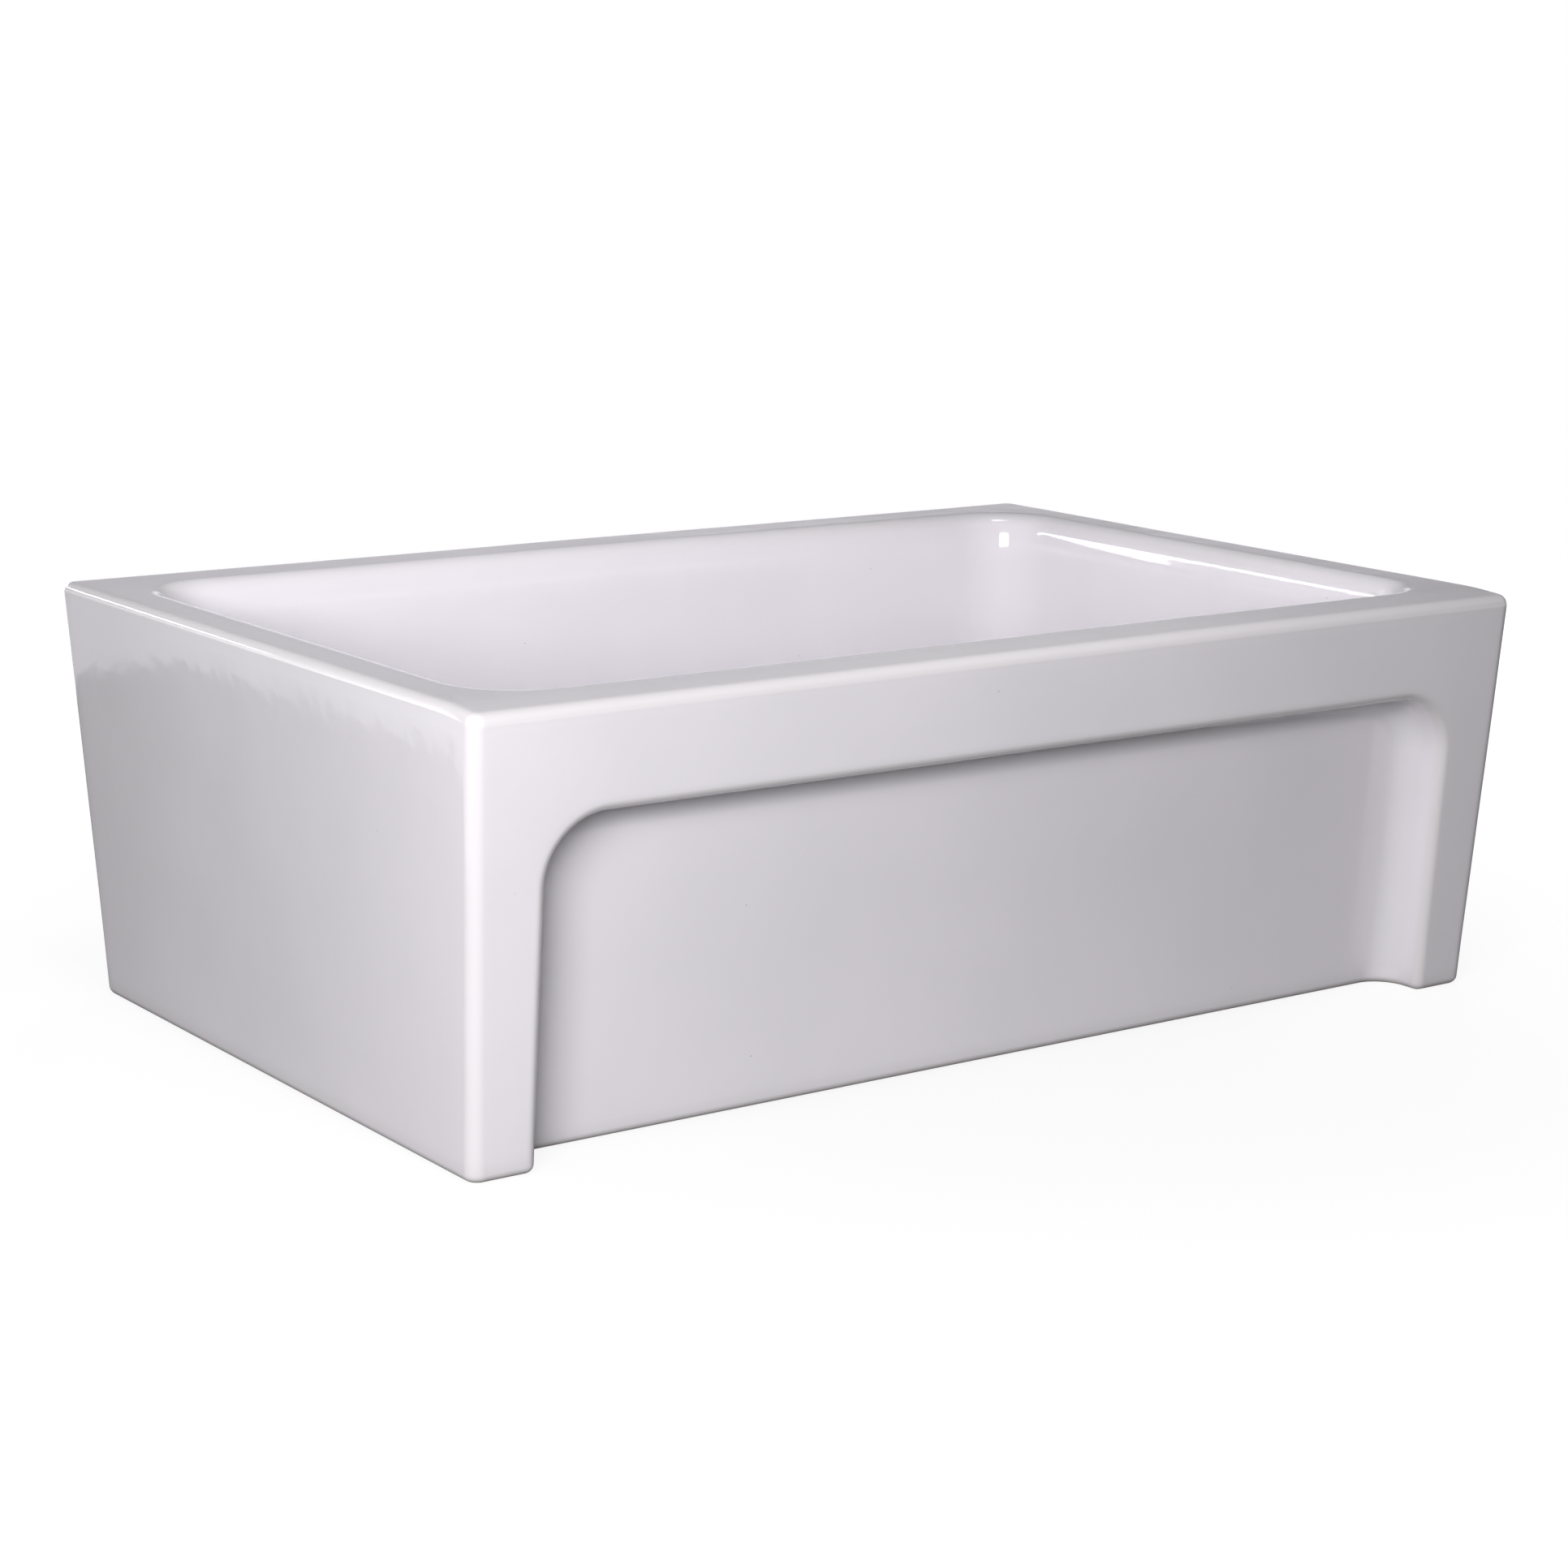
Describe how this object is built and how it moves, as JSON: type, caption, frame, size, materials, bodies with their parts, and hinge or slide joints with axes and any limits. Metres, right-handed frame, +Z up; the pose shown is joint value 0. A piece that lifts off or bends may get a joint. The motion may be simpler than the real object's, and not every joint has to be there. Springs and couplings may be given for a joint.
{
  "type": "farmhouse apron front sink",
  "caption": "White glazed fireclay farmhouse sink with a recessed panel in its apron, one deep bowl and a basket strainer drain whose basket and stopper lift.",
  "frame": {"origin": "on the plane of the basin's underside, on the axis of the drain", "axes": "+X along the sink, to the right of someone facing the apron; +Y to the rear wall; +Z up"},
  "size_m": [0.7614, 0.5034, 0.3206],
  "materials": {
    "fireclay": "gloss",
    "stainless": "satin",
    "zinc": "satin",
    "brass": "satin",
    "black_rubber": "matte",
    "fibre": "matte",
    "putty": "matte",
    "polythene": "satin"
  },
  "bodies": {
    "sink": {"sink_basin": "fireclay", "flange_seal": "putty", "strainer_body": "stainless", "stem_guide": "stainless", "rubber_gasket": "black_rubber", "friction_washer": "fibre", "lock_nut": "zinc", "tailpiece_washer": "polythene", "coupling_nut": "zinc"},
    "basket": {"basket_cup": "stainless", "stem_bushing": "brass", "stem_o_ring": "black_rubber"},
    "stopper": {"stem": "stainless", "knob": "stainless", "seal_washer": "stainless", "stopper_seal": "black_rubber", "stem_nut": "brass"}
  },
  "joints": [
    {"name": "basket_lift", "type": "slide", "parent": "sink", "child": "basket", "axis": [0, 0, 1], "range_m": [0, 0.32]},
    {"name": "stopper_lift", "type": "slide", "parent": "basket", "child": "stopper", "axis": [0, 0, 1], "range_m": [0, 0.01]}
  ]
}
